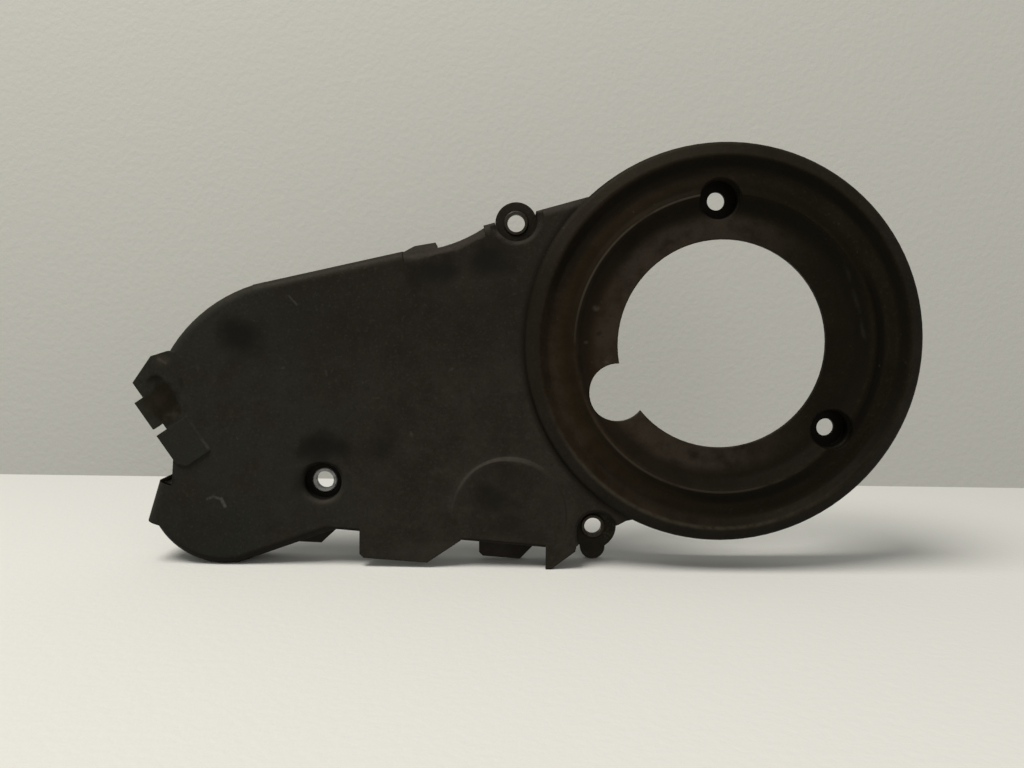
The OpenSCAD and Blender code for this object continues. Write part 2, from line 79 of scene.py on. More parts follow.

# Scratches and painted highlights: two ends, width, strength. A hook at the lower left and a stroke near
# the shoulder are scratches;
# the lines on the edge of the end pad and the top of the open end are painted highlights.
SCRATCH_AND_HIGHLIGHT_LINES = (
    ((-201.6, -63.8), (-197.4, -62.1), 0.8, 0.6),
    ((-199.4, -62.2), (-194.4, -63.7), 0.8, 0.75),
    ((-195.8, -62.4), (-193.5, -67.2), 1.0, 1.0),
    ((-168.6, 17.2), (-164.4, 12.5), 0.6, 0.45),
    ((-208.6, -30.6), (-199.3, -44.3), 0.6, 0.15),
    ((-203.4, -38.4), (-199.5, -44.0), 0.8, 0.4),
    ((-219.6, -8.1), (-215.4, -10.6), 0.8, 0.5),
)

# Ragged scuffs on the right of the dish: centre, half axes, tilt, strength
SCUFFS = (
    (47.2, 27.0, 1.1, 7.0, 22, 0.13),
    (50.6, 18.0, 1.2, 7.0, 20, 0.15),
    (53.6, 7.0, 1.0, 6.0, 14, 0.13),
)

# Pale specks: centre, half axes, tilt, strength
SPECKS = (
    (-49.4, 13.4, 2.2, 1.7, 0, 1.0),
    (-53.0, 0.2, 1.4, 1.0, 0, 0.8),
    (-45.0, -7.5, 1.6, 1.1, 0, 0.8),
    (-217.5, -9.0, 4.5, 3.2, 0, 0.5),
    (-105.1, -11.0, 1.4, 0.9, 30, 0.5),
    (-120.6, -36.6, 1.0, 1.8, 20, 0.7),
    (-170.4, -11.3, 1.2, 0.8, 0, 0.4),
    (-153.8, -13.3, 0.7, 2.0, 10, 0.4),
    (-134.4, -22.6, 2.6, 0.7, 5, 0.35),
    (-203.8, -11.5, 1.0, 2.0, 10, 0.35),
)

# Tones of the arm
ARM_DEEP = (0.0170, 0.0138, 0.0104)
ARM_PLAIN = (0.0275, 0.0232, 0.0182)
ARM_PATCH = (0.0350, 0.0295, 0.0228)
ARM_MOTTLE = (0.0360, 0.0305, 0.0240)
ARM_PIT = (0.0125, 0.0100, 0.0074)
ARM_WIPED = (0.0420, 0.0380, 0.0310)
ARM_COOL = (0.0196, 0.0212, 0.0166)
ARM_HIGH = (0.0108, 0.0084, 0.0060)
ARM_LOBE = (0.0115, 0.0135, 0.0108)
ARM_GRIT = (0.0460, 0.0410, 0.0330)
ARM_GRIT_DARK = (0.0085, 0.0072, 0.0054)

# Tones of the ring
RING_BLACK = (0.0060, 0.0044, 0.0020)
RING_BLACK_PALE = (0.0115, 0.0088, 0.0048)
RING_BLACK_LEFT = (0.0160, 0.0118, 0.0070)
RING_BROWN = (0.0180, 0.0114, 0.0062)
RING_BROWN_PALE = (0.0325, 0.0224, 0.0140)
RING_MOTTLE = (0.0300, 0.0235, 0.0150)
RING_GRIT = (0.0330, 0.0265, 0.0190)
RING_GRIT_DARK = (0.0050, 0.0036, 0.0020)
DISH_DUST = (0.0430, 0.0330, 0.0250)
DISH_LEFT = (0.0340, 0.0205, 0.0105)
# painted shade for the right side of the dish floor
DISH_RIGHT_SHADE = (0.0030, 0.0024, 0.0015)
# painted shade for the bead's lower flank, where it faces down
BEAD_LOW_SHADE = (0.0110, 0.0082, 0.0042)
BEAD_TOP = (0.0090, 0.0076, 0.0014)
HOLLOW_BOTTOM = (0.0050, 0.0034, 0.0018)
HOLLOW_LEFT = (0.0160, 0.0096, 0.0022)
GROOVE_DARK = (0.0030, 0.0023, 0.0012)
GROOVE_SHADE = (0.0044, 0.0032, 0.0020)
# painted shade just outside the step's crest
STEP_BAND_SHADE = (0.0046, 0.0032, 0.0012)
STEP_EDGE_SHADE = (0.0018, 0.0012, 0.0005)
STEP_FOOT = (0.0050, 0.0040, 0.0026)
# rubbed edge and painted highlight on the step
STEP_RUBBED_AND_HIGHLIGHT = (0.082, 0.070, 0.052)
SLOPE_BOTTOM = (0.0040, 0.0027, 0.0015)
SLOPE_RIGHT = (0.0030, 0.0021, 0.0007)
SEAM_DARK = (0.0070, 0.0058, 0.0040)
# dust and painted highlight on the bead's crest
CREST_DUST_AND_HIGHLIGHT = (0.0580, 0.0500, 0.0345)

# Tones of dust, dirt and marks, and of painted shade and painted highlights
# dark smudges, also used for painted shade in soft hollows
SMUDGE_SHADE_TONE = (0.0068, 0.0064, 0.0050)
# brown stain, with painted shade at its rim
STAIN_AND_RIM_SHADE = (0.0078, 0.0058, 0.0030)
STAIN_CORE = (0.0270, 0.0200, 0.0125)
STAIN_EDGE = (0.0240, 0.0220, 0.0140)
# painted shade inside the bolt pockets
POCKET_SHADE = (0.0016, 0.0013, 0.0009)
DUST = (0.066, 0.058, 0.045)
# painted shade for surfaces that face down
UNDERSIDE_SHADE = (0.0042, 0.0034, 0.0024)
# painted shadow at the top of the end wall
END_WALL_SHADOW_TONE = (0.0050, 0.0036, 0.0020)
LUG_OLIVE = (0.0160, 0.0136, 0.0080)
LUG_SPECKLE = (0.0560, 0.0500, 0.0330)
# dust and painted highlight on the arch's rim
ARCH_DUST_AND_HIGHLIGHT = (0.064, 0.060, 0.053)
# painted light over the crease of the arch's right leg
ARCH_LEG_FILL_LIGHT = (0.0300, 0.0262, 0.0205)
TAB_DUST = (0.0440, 0.0375, 0.0310)
# scratches, and painted highlights on lit edges
SCRATCH_HIGHLIGHT_TONE = (0.120, 0.112, 0.094)
# pale specks, also used for a painted highlight
SPECK_HIGHLIGHT_TONE = (0.100, 0.082, 0.064)
SPECK_DARK = (0.0060, 0.0046, 0.0030)
# painted highlight on the lower lip of the arm's pocket
LIP_HIGHLIGHT = (0.070, 0.062, 0.050)
SHEEN = (1.0, 0.90, 0.74, 1)

# Steel of the sleeves
STEEL_ARM = (0.30, 0.30, 0.29)
STEEL_UPPER = (0.046, 0.043, 0.035)
STEEL_LOWER = (0.040, 0.035, 0.026)
STEEL_STAIN = (0.036, 0.024, 0.013)
STEEL_METALLIC = 0.75


# Smooth shading: edges under the limit angle run smooth and the sharper ones stay sharp
def smooth_group():
    g = bpy.data.node_groups.new("smooth_by_angle", "GeometryNodeTree")
    g.interface.new_socket("Geometry", in_out="INPUT", socket_type="NodeSocketGeometry")
    g.interface.new_socket("Geometry", in_out="OUTPUT", socket_type="NodeSocketGeometry")
    start = g.nodes.new("NodeGroupInput")
    end = g.nodes.new("NodeGroupOutput")
    weld = g.nodes.new("GeometryNodeMergeByDistance")
    weld.inputs["Distance"].default_value = WELD
    faces = g.nodes.new("GeometryNodeSetShadeSmooth")
    faces.domain = "FACE"
    edges = g.nodes.new("GeometryNodeSetShadeSmooth")
    edges.domain = "EDGE"
    edges.inputs["Shade Smooth"].default_value = False
    angle = g.nodes.new("GeometryNodeInputMeshEdgeAngle")
    over = g.nodes.new("FunctionNodeCompare")
    over.operation = "GREATER_THAN"
    over.inputs[1].default_value = math.radians(SMOOTH_BELOW_DEG)
    g.links.new(start.outputs[0], weld.inputs[0])
    g.links.new(weld.outputs[0], faces.inputs[0])
    g.links.new(faces.outputs[0], edges.inputs[0])
    g.links.new(angle.outputs["Unsigned Angle"], over.inputs[0])
    g.links.new(over.outputs[0], edges.inputs["Selection"])
    g.links.new(edges.outputs[0], end.inputs[0])
    return g


SMOOTH = smooth_group()


def soften(obj):
    if "custom_normal" in obj.data.attributes:
        obj.data.attributes.remove(obj.data.attributes["custom_normal"])
    step = obj.modifiers.new("smooth_by_angle", "NODES")
    step.node_group = SMOOTH
    even = obj.modifiers.new("even_normals", "WEIGHTED_NORMAL")
    even.mode = "FACE_AREA"
    even.keep_sharp = True
    even.weight = NORMAL_WEIGHT


# Helper for node materials. Lengths are given in millimetres of the row frame.
class Shader:
    def __init__(self, name):
        self.mat = bpy.data.materials.new(name)
        self.mat.use_nodes = True
        self.t = self.mat.node_tree
        self.t.nodes.clear()
        self.out = self.add("ShaderNodeOutputMaterial")
        self.bsdf = self.add("ShaderNodeBsdfPrincipled")
        self.link(self.bsdf.outputs[0], self.out.inputs["Surface"])
        self.pos = self.add("ShaderNodeTexCoord").outputs["Object"]
        split = self.add("ShaderNodeSeparateXYZ")
        self.link(self.pos, split.inputs[0])
        self.x = self.mul(split.outputs[0], MM_PER_M)
        self.y = self.mul(split.outputs[1], MM_PER_M)
        self.z = self.mul(split.outputs[2], MM_PER_M)
        side = self.add("ShaderNodeSeparateXYZ")
        self.geo = self.add("ShaderNodeNewGeometry")
        self.link(self.geo.outputs["Normal"], side.inputs[0])
        self.ny = side.outputs[1]
        self.nz = side.outputs[2]

    def add(self, kind, **props):
        n = self.t.nodes.new(kind)
        for k, v in props.items():
            setattr(n, k, v)
        return n

    def link(self, a, b):
        self.t.links.new(a, b)

    def put(self, socket, v):
        if hasattr(v, "is_linked"):
            self.link(v, socket)
        elif isinstance(v, (tuple, list)) and len(v) == 3 and socket.type == "RGBA":
            socket.default_value = (*v, 1)
        else:
            socket.default_value = v

    def math(self, op, a, b=0.0):
        n = self.add("ShaderNodeMath", operation=op)
        self.put(n.inputs[0], a)
        self.put(n.inputs[1], b)
        return n.outputs[0]

    def chain(self, op, values):
        v = values[0]
        for w in values[1:]:
            v = self.math(op, v, w)
        return v

    def mul(self, *values):
        return self.chain("MULTIPLY", values)

    def plus(self, *values):
        return self.chain("ADD", values)

    def minus(self, a, b):
        return self.math("SUBTRACT", a, b)

    def most(self, *values):
        return self.chain("MAXIMUM", values)

    def least(self, *values):
        return self.chain("MINIMUM", values)

    def ease(self, v, lo, hi, a=0.0, b=1.0):
        n = self.add("ShaderNodeMapRange", interpolation_type="SMOOTHSTEP")
        for s, w in zip(n.inputs, (v, lo, hi, a, b)):
            self.put(s, w)
        return n.outputs[0]

    # Eased on both sides; each pair gives where the mask is 0 and where it is 1
    def between(self, v, rise, fall):
        return self.mul(self.ease(v, *rise), self.ease(v, *fall))

    def noise(self, size, detail=4.0, rough=0.55, stretch=(1, 1, 1), turn=(0, 0, 0), shift=(0, 0, 0)):
        m = self.add("ShaderNodeMapping")
        self.link(self.pos, m.inputs["Vector"])
        m.inputs["Scale"].default_value = stretch
        m.inputs["Rotation"].default_value = turn
        m.inputs["Location"].default_value = shift
        n = self.add("ShaderNodeTexNoise")
        self.link(m.outputs[0], n.inputs["Vector"])
        n.inputs["Scale"].default_value = MM_PER_M / size
        n.inputs["Detail"].default_value = detail
        n.inputs["Roughness"].default_value = rough
        return n.outputs["Fac"]

    def mix(self, fac, a, b):
        n = self.add("ShaderNodeMix", data_type="RGBA")
        self.put(n.inputs["Factor"], fac)
        ins = [s for s in n.inputs if s.type == "RGBA"]
        self.put(ins[0], a)
        self.put(ins[1], b)
        return [s for s in n.outputs if s.type == "RGBA"][0]

    # Lays a tone over what is there, as far as the product of the masks
    def coat(self, base, tone, *masks):
        return self.mix(self.mul(*masks), base, tone)

    # Offsets from a point along two turned axes of the picture plane, in units of the half axes
    def axes(self, cx, cz, tilt, a=1.0, b=1.0):
        dx = self.minus(self.x, cx)
        dz = self.minus(self.z, cz)
        c = math.cos(math.radians(tilt))
        s = math.sin(math.radians(tilt))
        u = self.plus(self.mul(dx, c / a), self.mul(dz, s / a))
        w = self.plus(self.mul(dx, -s / b), self.mul(dz, c / b))
        return u, w

    # Distance in the picture plane from a point, in units of the two half axes
    def away(self, cx, cz, a=1.0, b=None, tilt=0.0):
        u, w = self.axes(cx, cz, tilt, a, b or a)
        return self.math("SQRT", self.plus(self.mul(u, u), self.mul(w, w)))

    # Soft spot, 1 in the middle; a noise makes its edge ragged
    def spot(self, cx, cz, a, b=None, tilt=0.0, core=SPOT_CORE, ragged=None):
        d = self.away(cx, cz, a, b, tilt)
        if ragged is not None:
            d = self.plus(d, self.mul(self.minus(ragged, 0.5), RAGGED_REACH))
        return self.ease(d, core, 1.0, 1.0, 0.0)

    # Thin line between two points
    def line(self, p, q, width):
        run = Vector(q) - Vector(p)
        mid = (Vector(p) + Vector(q)) / 2
        u, w = self.axes(mid.x, mid.y, math.degrees(math.atan2(run.y, run.x)))
        u = self.math("ABSOLUTE", u)
        w = self.math("ABSOLUTE", w)
        along = self.ease(u, run.length * LINE_FULL, run.length * LINE_END, 1.0, 0.0)
        return self.mul(along, self.ease(w, width * LINE_CORE, width, 1.0, 0.0))

    def bump(self, height, distance, normal=None):
        n = self.add("ShaderNodeBump")
        n.inputs["Strength"].default_value = 1.0
        n.inputs["Distance"].default_value = distance
        self.link(height, n.inputs["Height"])
        if normal is not None:
            self.link(normal, n.inputs["Normal"])
        return n.outputs[0]

    def rounded(self, radius):
        n = self.add("ShaderNodeBevel", samples=BEVEL_SAMPLES)
        n.inputs["Radius"].default_value = radius
        return n.outputs[0]


# Masks and noises that the layers of the plastic share
def plastic_masks(s):
    m = SimpleNamespace()
    m.radius = s.math("SQRT", s.plus(s.mul(s.x, s.x), s.mul(s.z, s.z)))
    turn = s.math("ARCTAN2", s.z, s.x)
    m.front = s.ease(s.ny, 0.1, -0.2)
    m.upward = s.ease(s.nz, 0.15, 0.9)
    m.under = s.ease(s.nz, -0.03, -0.5)
    m.left = s.ease(s.x, 25, -60)
    m.bottom = s.ease(s.z, -25, -55)
    m.low_left = s.between(turn, (-0.7, -1.4), (-2.9, -2.3))
    m.upper_left = s.mul(s.ease(turn, 1.5, 1.8), s.ease(s.math("ABSOLUTE", turn), 3.3, 3.0))
    m.flank = s.ease(m.radius, 71.0, 72.4)
    m.ring = s.ease(m.radius, 78.6, 76.6)

    m.broad = s.noise(60, 3.0, 0.5)
    m.cloud = s.noise(18, 5.0, 0.6)
    m.patch = s.noise(7, 4.0, 0.6, shift=(0.3, 0.1, 0.7))
    m.mottle = s.noise(3.2, 4.0, 0.65, shift=(0.9, 0.4, 0.2))
    m.fleck = s.noise(1.6, 3.0, 0.6)
    m.grain = s.noise(0.55, 2.0, 0.5)
    m.grit = s.noise(1.0, 2.0, 0.6, shift=(0.2, 0.6, 0.4))
    m.wipe = s.noise(4.0, 4.0, 0.65, stretch=(0.35, 1.0, 1.0), turn=(0, math.radians(-38), 0))
    return m


# Arm: brown grey, with a cooler and greener cast towards its left end
def arm_tone(s, m):
    arm = s.mix(s.ease(m.cloud, 0.3, 0.72), ARM_DEEP, ARM_PLAIN)
    arm = s.coat(arm, ARM_PATCH, s.ease(m.patch, 0.45, 0.75), 0.5)
    arm = s.coat(arm, ARM_MOTTLE, s.ease(m.mottle, 0.5, 0.75), 0.45)
    arm = s.coat(arm, ARM_PIT, s.ease(m.mottle, 0.45, 0.25), 0.45)
    arm = s.coat(arm, ARM_WIPED, s.ease(m.wipe, 0.55, 0.8), 0.3)
    arm = s.coat(arm, ARM_COOL, s.ease(s.x, -105, -190), s.ease(m.cloud, 0.36, 0.62, 0.2, 1.0), 0.75)
    arm = s.coat(arm, ARM_HIGH, s.ease(s.z, -24, 10), s.ease(s.x, -200, -160), 0.45)
    arm = s.coat(arm, ARM_LOBE, s.ease(s.z, -58, -74), s.ease(s.x, -170, -195), 0.35)
    arm = s.coat(arm, ARM_GRIT, s.ease(m.grit, 0.55, 0.75), 0.4)
    return s.coat(arm, ARM_GRIT_DARK, s.ease(m.grit, 0.45, 0.25), 0.4)


# Ring: black on the right, brown on the left, greyer on the dish floor. The bead keeps the arm's dusty
# tone on its left flank and is darker on the right; towards the bottom its flank is darkened with painted
# shade, where it faces down.
def ring_tone(s, m, arm):
    black = s.mix(s.ease(m.cloud, 0.3, 0.75), RING_BLACK, RING_BLACK_PALE)
    black = s.coat(black, RING_BLACK_LEFT, m.left, 0.5)
    brown = s.mix(s.ease(m.patch, 0.3, 0.72), RING_BROWN, RING_BROWN_PALE)
    tone = s.coat(black, brown, m.left, s.ease(m.broad, 0.15, 0.6))
    dusty = s.mul(s.ease(m.radius, 52, 47), s.ease(s.x, 42, -6), s.ease(m.patch, 0.2, 0.65))
    tone = s.coat(tone, DISH_DUST, dusty, 0.8)
    tone = s.coat(tone, RING_MOTTLE, s.ease(m.mottle, 0.5, 0.8), 0.3)
    tone = s.coat(tone, RING_GRIT, s.ease(m.grit, 0.55, 0.75), 0.3)
    tone = s.coat(tone, RING_GRIT_DARK, s.ease(m.grit, 0.45, 0.25), 0.4)
    # painted shade: the bead's flank darker towards the bottom
    lower_flank_shaded = s.coat(arm, BEAD_LOW_SHADE, s.ease(s.z, -50, -15), 0.5)
    rim = s.mix(s.ease(s.x, -35, 25), lower_flank_shaded, s.mix(0.70, black, arm))
    return s.mix(m.flank, tone, rim)


# Darker bottom and right of the ring's inside, browner on its left, a darker trough inside the bead,
# darker at the foot of the step and along the seam with the arm, painted shade beside the step and on the
# dish's right, and a painted highlight on the crest
def ring_marks_and_shade(s, m, base):
    radius = m.radius
    hollow = s.between(radius, (57.0, 59.0), (72.0, 69.0))
    base = s.coat(base, HOLLOW_BOTTOM, hollow, m.bottom, 0.4)
    base = s.coat(base, HOLLOW_LEFT, hollow, m.left, s.ease(radius, 66, 63), 0.40)
    # painted shade: the dish floor darker on its right, as in the step's shadow
    base = s.coat(base, DISH_RIGHT_SHADE, s.ease(radius, 57.0, 55.0), s.ease(s.x, 18, 44), 0.3)
    base = s.coat(base, BEAD_TOP, m.ring, m.flank, s.ease(s.z, 40, 62), 0.3)

    mid_left = s.mul(s.ease(s.x, -46, -64), s.ease(s.z, 34, 6))
    open_side = s.least(s.ease(m.low_left, 0.0, 1.0, 1.0, 0.15), s.ease(mid_left, 0.0, 1.0, 1.0, 0.2))
    # darker band in the trough inside the bead, strongest on the right and weak on the left
    groove = s.between(radius, (66.6, 68.6), (71.6, 70.0))
    groove = s.mul(groove, open_side, s.ease(m.cloud, 0.1, 0.5, 0.6, 1.0))
    base = s.coat(base, GROOVE_DARK, groove, s.ease(s.x, 0, 45, 0.78, 0.86))
    shade = s.mul(s.between(radius, (63.5, 66.0), (71.0, 69.0)), m.upper_left, s.ease(s.z, 16, 36))
    base = s.coat(base, GROOVE_SHADE, shade, s.ease(m.cloud, 0.15, 0.55, 0.6, 1.0), 0.6)
    # painted shade: a dark band just outside the step's crest, stronger on the right
    band_shade_mask = s.mul(s.between(radius, (57.2, 58.4), (63.5, 60.5)), s.ease(m.cloud, 0.15, 0.55, 0.55, 1.0))
    base = s.coat(base, STEP_BAND_SHADE, band_shade_mask, s.ease(s.x, -40, 0, 0.35, 0.6))
    # painted shade: a dark line on the slope beyond the ridge, on the right and lower right, where it
    # faces away from the lamp
    right = s.mul(s.ease(s.x, 40, 54), s.between(s.z, (34, 20), (-46, -34)))
    low = s.mul(s.ease(s.z, -44, -54), s.ease(s.x, -20, 0))
    edge_shade_mask = s.mul(s.most(right, low), s.between(radius, (58.2, 59.8), (63.0, 61.0)))
    base = s.coat(base, STEP_EDGE_SHADE, edge_shade_mask, 0.9)
    foot = s.mul(s.between(radius, (48.5, 52.4), (57.2, 55.4)), s.ease(m.bottom, 0.0, 1.0, 1.0, 0.75))
    base = s.coat(base, STEP_FOOT, foot, 0.65)
    slope = s.between(radius, (50.0, 52.5), (59.0, 57.5))
    base = s.coat(base, SLOPE_BOTTOM, slope, m.bottom, 0.45)
    base = s.coat(base, SLOPE_RIGHT, slope, s.ease(s.x, 38, 50), 0.35)
    base = s.coat(base, DISH_LEFT, s.ease(radius, 56.0, 54.0), s.ease(s.x, -36, -46), 0.25)
    # darker line along the seam between the ring and the arm, on the left
    seam = s.mul(s.between(radius, (79.6, 77.8), (76.2, 77.0)), s.ease(s.x, -20, -45))
    base = s.coat(base, SEAM_DARK, seam, 0.55)

    # Pale line on the bead's crest along the lower left and the bottom: dust, and a painted highlight
    # where the crest faces up to the lamp
    crest = s.between(radius, (70.4, 71.4), (73.2, 72.0))
    return s.coat(base, CREST_DUST_AND_HIGHLIGHT, m.low_left, crest, s.ease(m.mottle, 0.2, 0.6), 0.48)


# Soft dark smudges and painted shade on the arm's face, the stained open end and painted shade in the
# bolt pockets
def smudges_stains_and_shade(s, m, base):
    # dark smudges, and painted shade in the soft hollows above the arm's pocket, in the arch and below
    # the rolled edge beside the upper lug
    smudge_shade_spots = [s.mul(s.spot(*place, ragged=m.cloud), amount) for *place, amount in SMUDGE_AND_SHADE_SPOTS]
    base = s.coat(base, SMUDGE_SHADE_TONE, s.most(*smudge_shade_spots), m.front, s.ease(m.mottle, 0.1, 0.45, 0.7, 1.0))

    # Brown stain in the sunk band of the open end, greener towards the edge; its darker rim round a
    # lighter core is also painted shade of the band's sunk walls
    stain = s.spot(-217.4, -24.8, 8.2, 11.5, -14, 0.5, m.patch)
    base = s.coat(base, STAIN_AND_RIM_SHADE, stain, m.front, s.ease(m.mottle, 0.0, 0.45), 0.95)
    core = s.spot(-218.6, -24.0, 2.8, 5.0, -12, 0.1, m.mottle)
    base = s.coat(base, STAIN_CORE, core, m.front, 0.35)
    base = s.coat(base, STAIN_EDGE, s.spot(-224.5, -27.5, 6, 9, -34), m.front, 0.35)

    # painted shade inside the bolt pockets, where their walls face down
    for cx, cz, size, mouth, rear in POCKETS:
        depth = s.between(s.y, (mouth - POCKET_EASE, mouth + POCKET_EASE), (rear + POCKET_EASE, rear))
        base = s.coat(base, POCKET_SHADE, s.ease(s.away(cx, cz, size), 1.04, 0.94), depth, 0.95)
    return base


# Painted shadow at the top of the end wall, deeper in the gap behind it than on the face
def end_wall_shadow_mask(s):
    inside = s.most(s.ease(s.nz, 0.2, 0.4), s.ease(s.y, 1.0, 3.0))
    behind = s.mul(s.spot(*END_WALL_GAP, 8.0, 7.0, 0, 0.6), inside)
    return s.most(s.mul(s.spot(*END_WALL_TOP, 3.6, 2.8, 0, 0.1), 0.6), behind)


# Pale dust: fine flecks, more where the surface faces up; painted shade where it faces down
def dust_and_painted_light(s, m, base, end_wall_shadow):
    flecks = s.mul(s.ease(m.fleck, 0.64, 0.80), s.ease(m.cloud, 0.35, 0.65), 0.5)
    fallen = s.mul(m.upward, s.ease(m.cloud, 0.25, 0.75), s.ease(m.radius, 68, 78, 0.05, 0.22))
    base = s.coat(base, DUST, s.least(s.plus(flecks, fallen), 0.5))
    # painted shade on surfaces that face down
    base = s.coat(base, UNDERSIDE_SHADE, m.under, s.ease(m.radius, 74, 80, 0.45, 0.92))
    # painted shadow at the top of the end wall
    base = s.coat(base, END_WALL_SHADOW_TONE, end_wall_shadow)

    # Rear lug: olive brown, with pale speckle on its right half
    lug = s.mul(s.ease(s.away(*LOWER_LUG), 11.5, 10.5), s.ease(s.y, 12.4, 13.2))
    base = s.coat(base, LUG_OLIVE, lug, 0.6)
    speckle = s.mul(lug, s.ease(s.x, -46, -42), s.ease(m.grit, 0.42, 0.62), s.ease(s.z, -84, -80))
    base = s.coat(base, LUG_SPECKLE, speckle, 0.7)

    # Arch: dust and a painted highlight on its rim, and painted light over the shade in the crease of its
    # right leg
    rise = s.away(*ARCH)
    arc = s.mul(s.between(rise, (20.8, 22.4), (26.0, 23.6)), s.ease(s.z, -70, -58))
    arc = s.mul(arc, s.ease(m.patch, 0.25, 0.6, 0.2, 1.0), s.ease(s.x, -64, -80))
    blotch = s.mul(s.spot(-98.6, -66.2, 4.5, 3.2, 0, 0.1, m.patch), 0.8)
    base = s.coat(base, ARCH_DUST_AND_HIGHLIGHT, s.most(arc, blotch), m.front, 0.2)
    # painted light that lifts the shade in the crease of the right leg
    leg_fill_light = s.mul(s.between(rise, (21.2, 22.0), (24.4, 23.6)), s.ease(s.x, -66, -62), s.ease(s.z, -86, -80))
    base = s.coat(base, ARCH_LEG_FILL_LIGHT, leg_fill_light, m.front, 0.5)

    # Lighter tabs on the lower edge
    tabs = s.mul(s.ease(s.z, -78.5, -81.0), s.between(s.x, (-130, -124), (-78, -84)))
    return s.coat(base, TAB_DUST, tabs, 0.3)


# Scratches, scuffs and specks, and the rubbed edges, with painted highlights on lit edges
def wear_and_highlights(s, m, base):
    # scratches and scuffs, and painted highlights on the lit edge of the end pad and the top of the open
    # end
    mark_highlight_lines = [s.mul(s.line(p, q, width), amount) for p, q, width, amount in SCRATCH_AND_HIGHLIGHT_LINES]
    mark_highlight_lines += [s.mul(s.spot(*place, 0.0, m.mottle), amount) for *place, amount in SCUFFS]
    base = s.coat(base, SCRATCH_HIGHLIGHT_TONE, s.most(*mark_highlight_lines), m.front, s.ease(m.fleck, 0.15, 0.6), 0.6)
    speck_highlight_spots = [s.mul(s.spot(*place), amount) for *place, amount in SPECKS]
    # painted highlight on the rolled edge beside the upper lug
    speck_highlight_spots.append(s.mul(s.spot(-87.6, 41.4, 3.6, 1.6, -35, 0.0, m.mottle), 0.6))
    base = s.coat(base, SPECK_HIGHLIGHT_TONE, s.most(*speck_highlight_spots), m.front, s.ease(m.fleck, 0.1, 0.6), 0.5)
    base = s.coat(base, SPECK_DARK, s.spot(-48.0, 3.7, 2.0, 1.4, 30), m.front, 0.6)

    # Rubbed edge of the step with a painted highlight, brightest on the upper left towards the lamp
    patchy = s.ease(s.noise(9, 3.0), 0.2, 0.5)
    crisp = s.mul(s.between(m.radius, (57.0, 57.4), (58.2, 57.8)), s.ease(s.y, -3.0, -3.8), m.front)
    sides = s.most(s.mul(m.upper_left, s.ease(s.z, 4, 26, 0.22, 0.55)), s.mul(m.low_left, 0.3))
    base = s.coat(base, STEP_RUBBED_AND_HIGHLIGHT, crisp, patchy, sides)

    # Painted highlight on the lower lip of the arm's pocket, where it faces up
    ring_c = s.away(*ARM_POCKET)
    lip = s.mul(s.between(ring_c, (7.6, 8.6), (10.6, 9.4)), s.ease(s.z, -58, -62))
    return s.coat(base, LIP_HIGHLIGHT, lip, m.front, 0.06)


# Black moulded plastic: brownish grey with dust on the arm, blacker and brown inside the ring
def plastic():
    s = Shader("moulded_plastic")
    m = plastic_masks(s)
    arm = arm_tone(s, m)
    end_wall_shadow = end_wall_shadow_mask(s)
    base = s.mix(m.ring, arm, ring_tone(s, m, arm))
    base = ring_marks_and_shade(s, m, base)
    base = smudges_stains_and_shade(s, m, base)
    base = dust_and_painted_light(s, m, base, end_wall_shadow)
    base = wear_and_highlights(s, m, base)
    s.link(base, s.bsdf.inputs["Base Color"])

    gloss = s.plus(
        s.ease(m.cloud, 0.25, 0.75, 0.52, 0.66),
        s.mul(m.ring, -0.04),
        s.mul(s.ease(m.fleck, 0.4, 0.8), 0.1),
    )
    s.link(gloss, s.bsdf.inputs["Roughness"])
    # less sheen in the painted shadow at the end wall
    shine = s.mul(s.ease(m.ring, 0.0, 1.0, 0.12, 0.08), s.minus(1.0, end_wall_shadow))
    s.link(shine, s.bsdf.inputs["Specular IOR Level"])
    s.bsdf.inputs["Specular Tint"].default_value = SHEEN
    wave = s.bump(m.broad, 0.0010, s.rounded(0.0007))
    uneven = s.plus(s.mul(m.cloud, 0.6), s.mul(m.patch, 0.3), s.mul(m.mottle, 0.12))
    rough = s.bump(uneven, 0.00030, wave)
    fine = s.bump(s.plus(s.mul(m.grain, 0.6), s.mul(m.fleck, 0.8)), 0.00006, rough)
    s.link(fine, s.bsdf.inputs["Normal"])
    return s.mat


# Dull steel of the sleeves, stained by the given amount
def steel(name, stain, tone):
    s = Shader(name)
    cloud = s.noise(2.2, 4.0, 0.6)
    fine = s.noise(0.35, 2.0, 0.5)
    base = s.mix(s.ease(fine, 0.3, 0.7), tuple(v * 0.8 for v in tone), tone)
    base = s.coat(base, STEEL_STAIN, s.ease(cloud, 0.62 - stain, 0.8 - stain / 2), 0.9)
    s.link(base, s.bsdf.inputs["Base Color"])
    s.bsdf.inputs["Metallic"].default_value = STEEL_METALLIC
    s.link(s.ease(cloud, 0.3, 0.7, 0.42, 0.66), s.bsdf.inputs["Roughness"])
    s.link(s.bump(fine, 0.00003, s.rounded(0.00025)), s.bsdf.inputs["Normal"])
    return s.mat


def paint(name, material):
    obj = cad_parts[name]
    obj.data.materials.clear()
    obj.data.materials.append(material)
    soften(obj)


paint("cover", plastic())
paint("sleeve_arm", steel("sleeve_steel_arm", 0.10, STEEL_ARM))
paint("sleeve_upper", steel("sleeve_steel_upper", 0.26, STEEL_UPPER))
paint("sleeve_lower", steel("sleeve_steel_lower", 0.36, STEEL_LOWER))


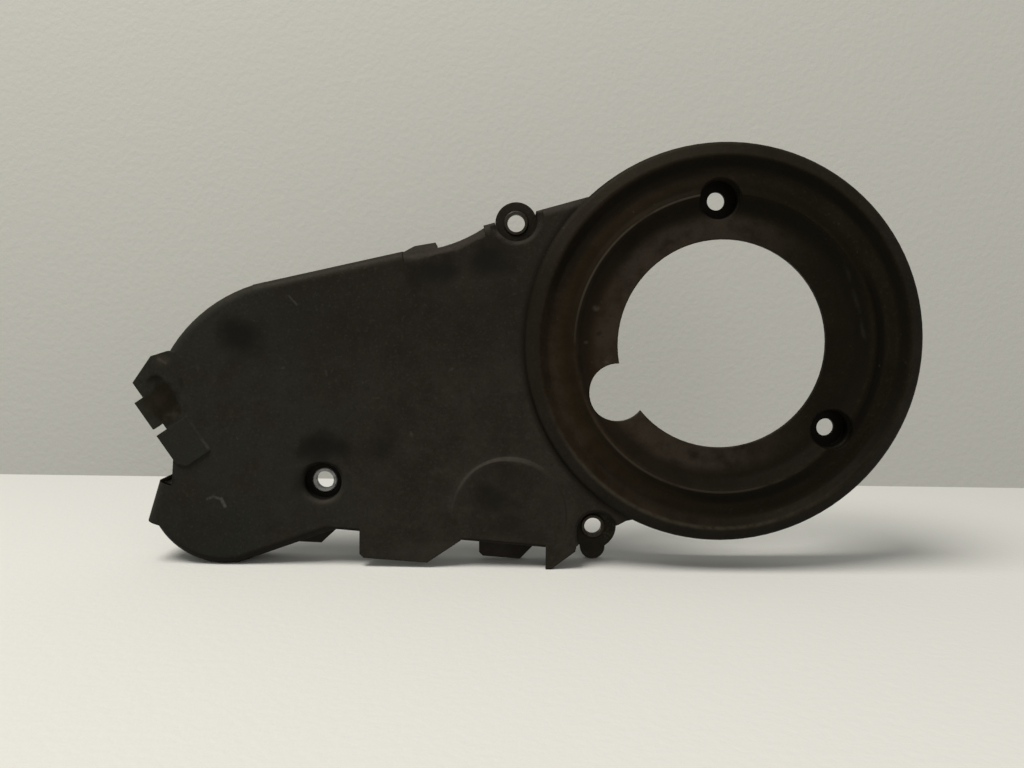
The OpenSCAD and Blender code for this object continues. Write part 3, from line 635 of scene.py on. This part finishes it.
# Stage: pale floor and a plain backdrop that is seen from its front only
def stage_material(name, color, one_sided):
    s = Shader(name)
    s.bsdf.inputs["Base Color"].default_value = (*color, 1)
    s.bsdf.inputs["Roughness"].default_value = STAGE_ROUGH
    s.bsdf.inputs["Specular IOR Level"].default_value = STAGE_SPECULAR
    s.link(s.bump(s.noise(3.0, 3.0), 0.0002), s.bsdf.inputs["Normal"])
    if one_sided:
        clear = s.add("ShaderNodeBsdfTransparent")
        pick = s.add("ShaderNodeMixShader")
        s.link(s.geo.outputs["Backfacing"], pick.inputs[0])
        s.link(s.bsdf.outputs[0], pick.inputs[1])
        s.link(clear.outputs[0], pick.inputs[2])
        s.link(pick.outputs[0], s.out.inputs["Surface"])
    return s.mat


def sheet(name, corners, material):
    mesh = bpy.data.meshes.new(name)
    mesh.from_pydata(corners, [], [(0, 1, 2, 3)])
    obj = bpy.data.objects.new(name, mesh)
    scene.collection.objects.link(obj)
    mesh.materials.append(material)
    return obj


H = STAGE_HALF
floor_corners = [(-H, -H, FLOOR), (H, -H, FLOOR), (H, H, FLOOR), (-H, H, FLOOR)]
ground = sheet("floor", floor_corners, stage_material("floor_white", (0.80, 0.79, 0.74), False))
ground.visible_diffuse = False
wall_corners = [(-H, BACK, FLOOR), (H, BACK, FLOOR), (H, BACK, H), (-H, BACK, H)]
wall = sheet("backdrop", wall_corners, stage_material("backdrop_pale", (0.69, 0.68, 0.62), True))
wall.visible_shadow = False
wall.visible_diffuse = False
wall.visible_glossy = False
wall.visible_transmission = False


# Light: a wide soft lamp above on the left, a weak one in front on the right, and an even pale world
def lamp(name, place, aim, size, power, color):
    data = bpy.data.lights.new(name, "AREA")
    data.shape = "DISK"
    data.size = size
    data.energy = power
    data.color = color
    obj = bpy.data.objects.new(name, data)
    scene.collection.objects.link(obj)
    obj.location = place
    obj.rotation_euler = (Vector(aim) - Vector(place)).to_track_quat("-Z", "Y").to_euler()


lamp("key", (-0.55, -0.45, 1.25), (-0.08, 0.0, -0.02), 0.8, 17.0, (1.0, 0.98, 0.94))
lamp("fill", (0.5, -1.1, 0.35), (-0.05, 0.0, 0.0), 0.9, 1.6, (1.0, 0.97, 0.92))

world = bpy.data.worlds.new("pale")
scene.world = world
world.use_nodes = True
sky = world.node_tree.nodes["Background"]
sky.inputs["Color"].default_value = (0.92, 0.93, 0.90, 1)
sky.inputs["Strength"].default_value = 0.30

# Camera at the photograph's place
lens = bpy.data.cameras.new("camera")
lens.sensor_fit = "HORIZONTAL"
lens.sensor_width = SENSOR_MM
lens.lens = FOCAL_PX / PHOTO_WIDTH_PX * SENSOR_MM
lens.clip_start = CLIP_START
camera = bpy.data.objects.new("camera", lens)
scene.collection.objects.link(camera)
camera.matrix_world = (
    Matrix.Translation(CAMERA_PLACE)
    @ Matrix.Rotation(math.radians(90 - CAMERA_DOWN_DEG), 4, "X")
    @ Matrix.Rotation(math.radians(CAMERA_ROLL_DEG), 4, "Z")
)
scene.camera = camera
scene.view_settings.view_transform = "Standard"
